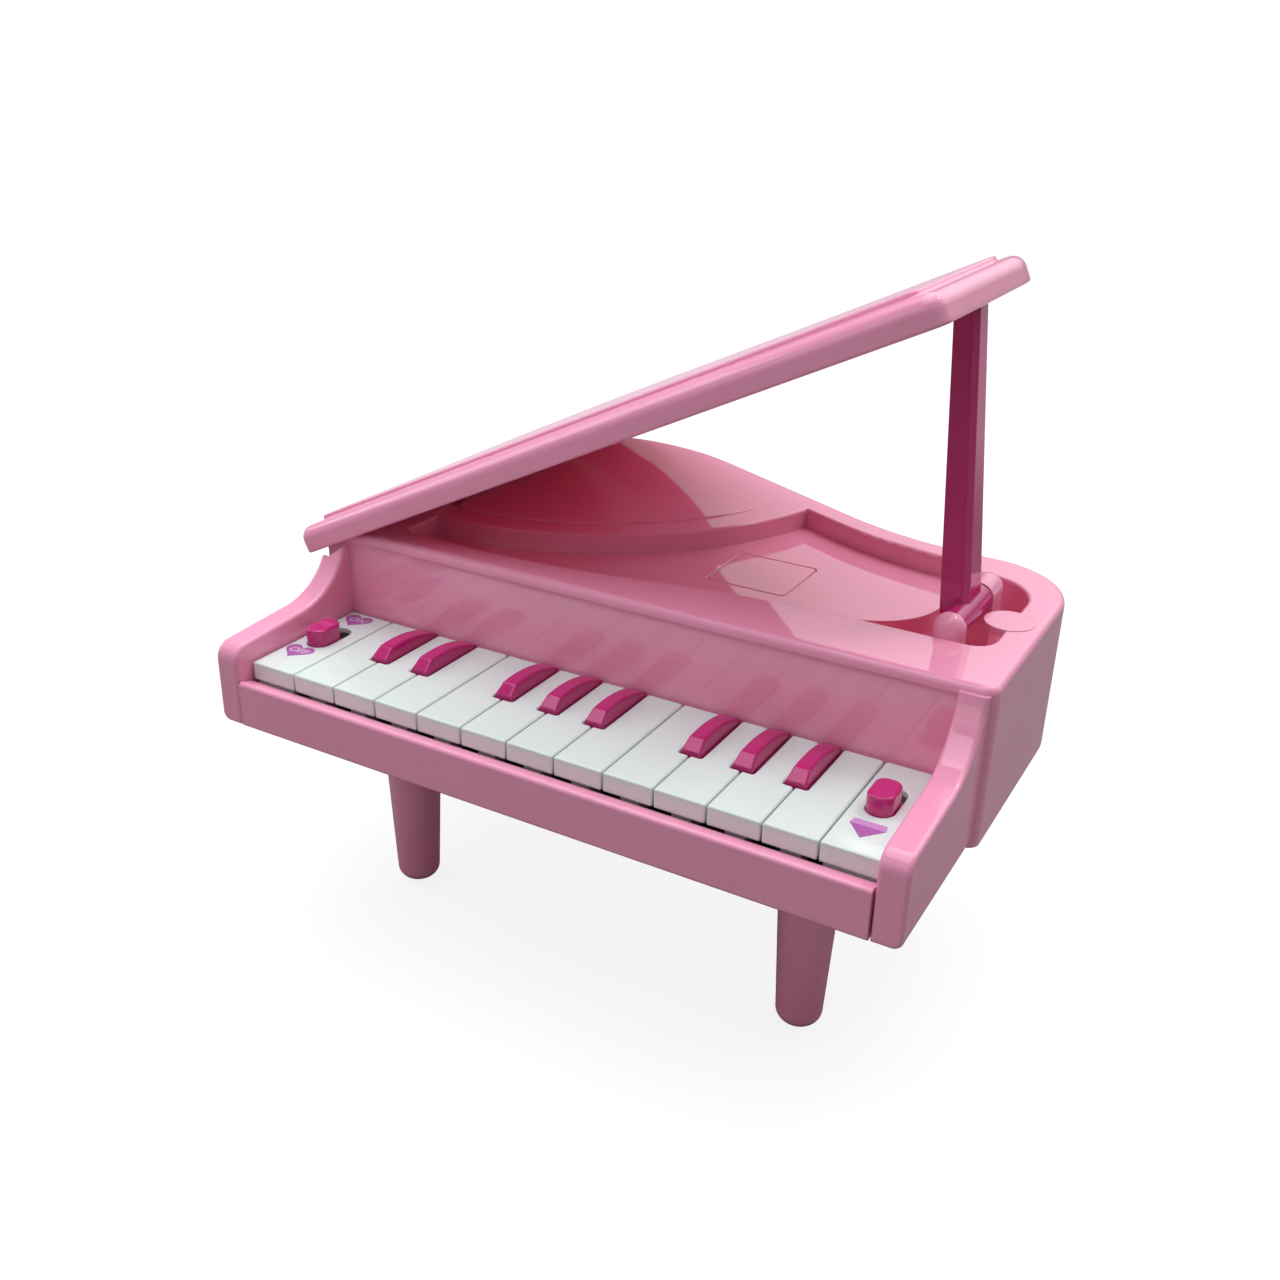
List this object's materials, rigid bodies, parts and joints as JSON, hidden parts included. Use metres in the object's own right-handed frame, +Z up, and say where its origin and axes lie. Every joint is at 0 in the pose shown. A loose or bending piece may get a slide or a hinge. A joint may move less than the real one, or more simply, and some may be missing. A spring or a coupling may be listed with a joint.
{
  "type": "toy piano",
  "caption": "Toy grand piano on tapered legs with sprung keys, sliding end switches, a sunken deck bay and a shaped lid held open by a folding prop.",
  "frame": {"origin": "on the floor under the middle of the whole piano's extent, with the lid standing open on its prop", "axes": "+Z up, +X to the player's right along the keyboard, +Y from the keys to the tail"},
  "size_m": [0.241, 0.2108, 0.2181],
  "materials": {
    "pink_plastic": "glossy moulded",
    "magenta_plastic": "glossy moulded",
    "white_plastic": "glossy moulded",
    "steel": "plain bright",
    "board": "solder mask",
    "dome_rubber": "matte moulded",
    "black_resin": "cast drop",
    "cone_paper": "pressed paper",
    "ferrite": "ground",
    "cell_jacket": "plain sleeve"
  },
  "bodies": {
    "case": {"upper_case": "pink_plastic", "bottom_case": "pink_plastic", "left_switch_block": "white_plastic", "right_switch_block": "white_plastic", "power_switch": "steel", "mode_switch": "steel", "lid_hinge_pins": "steel", "prop_pin": "steel", "key_pivot_rod": "steel", "circuit_board": "board", "contact_strip": "dome_rubber", "sound_chip": "black_resin", "speaker_frame": "steel", "speaker_cone": "cone_paper", "speaker_magnet": "ferrite", "batteries": "cell_jacket", "battery_contacts": "steel", "battery_door": "pink_plastic", "battery_door_screw": "steel", "case_screws": "steel", "leg_front_left": "pink_plastic", "leg_front_right": "pink_plastic", "leg_rear": "pink_plastic"},
    "lid": {"lid": "pink_plastic"},
    "prop": {"lid_prop": "magenta_plastic"},
    "power_slider": {"power_knob": "magenta_plastic"},
    "mode_slider": {"mode_knob": "magenta_plastic"},
    "white_key_01": {"white_key_01": "white_plastic"},
    "white_key_02": {"white_key_02": "white_plastic"},
    "white_key_03": {"white_key_03": "white_plastic"},
    "white_key_04": {"white_key_04": "white_plastic"},
    "white_key_05": {"white_key_05": "white_plastic"},
    "white_key_06": {"white_key_06": "white_plastic"},
    "white_key_07": {"white_key_07": "white_plastic"},
    "white_key_08": {"white_key_08": "white_plastic"},
    "white_key_09": {"white_key_09": "white_plastic"},
    "white_key_10": {"white_key_10": "white_plastic"},
    "white_key_11": {"white_key_11": "white_plastic"},
    "black_key_01": {"black_key_01": "magenta_plastic"},
    "black_key_02": {"black_key_02": "magenta_plastic"},
    "black_key_03": {"black_key_03": "magenta_plastic"},
    "black_key_04": {"black_key_04": "magenta_plastic"},
    "black_key_05": {"black_key_05": "magenta_plastic"},
    "black_key_06": {"black_key_06": "magenta_plastic"},
    "black_key_07": {"black_key_07": "magenta_plastic"},
    "black_key_08": {"black_key_08": "magenta_plastic"}
  },
  "joints": [
    {"name": "lid_hinge", "type": "hinge", "parent": "case", "child": "lid", "pos_m": [-0.09149, 0.02621, 0.1058], "axis": [0, -1, 0], "range_deg": [0, 15]},
    {"name": "prop_fold", "type": "hinge", "parent": "case", "child": "prop", "pos_m": [0.09771, -0.00819, 0.1207], "axis": [0, -1, 0], "range_deg": [0, 85]},
    {"name": "power_slide", "type": "slide", "parent": "case", "child": "power_slider", "axis": [0, 1, 0], "range_m": [0, 0.005]},
    {"name": "mode_slide", "type": "slide", "parent": "case", "child": "mode_slider", "axis": [0, 1, 0], "range_m": [0, 0.005]},
    {"name": "white_key_01_press", "type": "hinge", "parent": "case", "child": "white_key_01", "pos_m": [0.00451, -0.03679, 0.082], "axis": [1, 0, 0], "range_deg": [0, 3], "stiffness_Nm_per_rad": 0.1, "springref_deg": -17.19},
    {"name": "white_key_02_press", "type": "hinge", "parent": "case", "child": "white_key_02", "pos_m": [0.00451, -0.03679, 0.082], "axis": [1, 0, 0], "range_deg": [0, 3], "stiffness_Nm_per_rad": 0.1, "springref_deg": -17.19},
    {"name": "white_key_03_press", "type": "hinge", "parent": "case", "child": "white_key_03", "pos_m": [0.00451, -0.03679, 0.082], "axis": [1, 0, 0], "range_deg": [0, 3], "stiffness_Nm_per_rad": 0.1, "springref_deg": -17.19},
    {"name": "white_key_04_press", "type": "hinge", "parent": "case", "child": "white_key_04", "pos_m": [0.00451, -0.03679, 0.082], "axis": [1, 0, 0], "range_deg": [0, 3], "stiffness_Nm_per_rad": 0.1, "springref_deg": -17.19},
    {"name": "white_key_05_press", "type": "hinge", "parent": "case", "child": "white_key_05", "pos_m": [0.00451, -0.03679, 0.082], "axis": [1, 0, 0], "range_deg": [0, 3], "stiffness_Nm_per_rad": 0.1, "springref_deg": -17.19},
    {"name": "white_key_06_press", "type": "hinge", "parent": "case", "child": "white_key_06", "pos_m": [0.00451, -0.03679, 0.082], "axis": [1, 0, 0], "range_deg": [0, 3], "stiffness_Nm_per_rad": 0.1, "springref_deg": -17.19},
    {"name": "white_key_07_press", "type": "hinge", "parent": "case", "child": "white_key_07", "pos_m": [0.00451, -0.03679, 0.082], "axis": [1, 0, 0], "range_deg": [0, 3], "stiffness_Nm_per_rad": 0.1, "springref_deg": -17.19},
    {"name": "white_key_08_press", "type": "hinge", "parent": "case", "child": "white_key_08", "pos_m": [0.00451, -0.03679, 0.082], "axis": [1, 0, 0], "range_deg": [0, 3], "stiffness_Nm_per_rad": 0.1, "springref_deg": -17.19},
    {"name": "white_key_09_press", "type": "hinge", "parent": "case", "child": "white_key_09", "pos_m": [0.00451, -0.03679, 0.082], "axis": [1, 0, 0], "range_deg": [0, 3], "stiffness_Nm_per_rad": 0.1, "springref_deg": -17.19},
    {"name": "white_key_10_press", "type": "hinge", "parent": "case", "child": "white_key_10", "pos_m": [0.00451, -0.03679, 0.082], "axis": [1, 0, 0], "range_deg": [0, 3], "stiffness_Nm_per_rad": 0.1, "springref_deg": -17.19},
    {"name": "white_key_11_press", "type": "hinge", "parent": "case", "child": "white_key_11", "pos_m": [0.00451, -0.03679, 0.082], "axis": [1, 0, 0], "range_deg": [0, 3], "stiffness_Nm_per_rad": 0.1, "springref_deg": -17.19},
    {"name": "black_key_01_press", "type": "hinge", "parent": "case", "child": "black_key_01", "pos_m": [0.00451, -0.03679, 0.082], "axis": [1, 0, 0], "range_deg": [0, 3], "stiffness_Nm_per_rad": 0.1, "springref_deg": -17.19},
    {"name": "black_key_02_press", "type": "hinge", "parent": "case", "child": "black_key_02", "pos_m": [0.00451, -0.03679, 0.082], "axis": [1, 0, 0], "range_deg": [0, 3], "stiffness_Nm_per_rad": 0.1, "springref_deg": -17.19},
    {"name": "black_key_03_press", "type": "hinge", "parent": "case", "child": "black_key_03", "pos_m": [0.00451, -0.03679, 0.082], "axis": [1, 0, 0], "range_deg": [0, 3], "stiffness_Nm_per_rad": 0.1, "springref_deg": -17.19},
    {"name": "black_key_04_press", "type": "hinge", "parent": "case", "child": "black_key_04", "pos_m": [0.00451, -0.03679, 0.082], "axis": [1, 0, 0], "range_deg": [0, 3], "stiffness_Nm_per_rad": 0.1, "springref_deg": -17.19},
    {"name": "black_key_05_press", "type": "hinge", "parent": "case", "child": "black_key_05", "pos_m": [0.00451, -0.03679, 0.082], "axis": [1, 0, 0], "range_deg": [0, 3], "stiffness_Nm_per_rad": 0.1, "springref_deg": -17.19},
    {"name": "black_key_06_press", "type": "hinge", "parent": "case", "child": "black_key_06", "pos_m": [0.00451, -0.03679, 0.082], "axis": [1, 0, 0], "range_deg": [0, 3], "stiffness_Nm_per_rad": 0.1, "springref_deg": -17.19},
    {"name": "black_key_07_press", "type": "hinge", "parent": "case", "child": "black_key_07", "pos_m": [0.00451, -0.03679, 0.082], "axis": [1, 0, 0], "range_deg": [0, 3], "stiffness_Nm_per_rad": 0.1, "springref_deg": -17.19},
    {"name": "black_key_08_press", "type": "hinge", "parent": "case", "child": "black_key_08", "pos_m": [0.00451, -0.03679, 0.082], "axis": [1, 0, 0], "range_deg": [0, 3], "stiffness_Nm_per_rad": 0.1, "springref_deg": -17.19}
  ],
  "couplings": [
    {"joint": "prop_fold", "follows": "lid_hinge", "ratio": 5.6667}
  ]
}
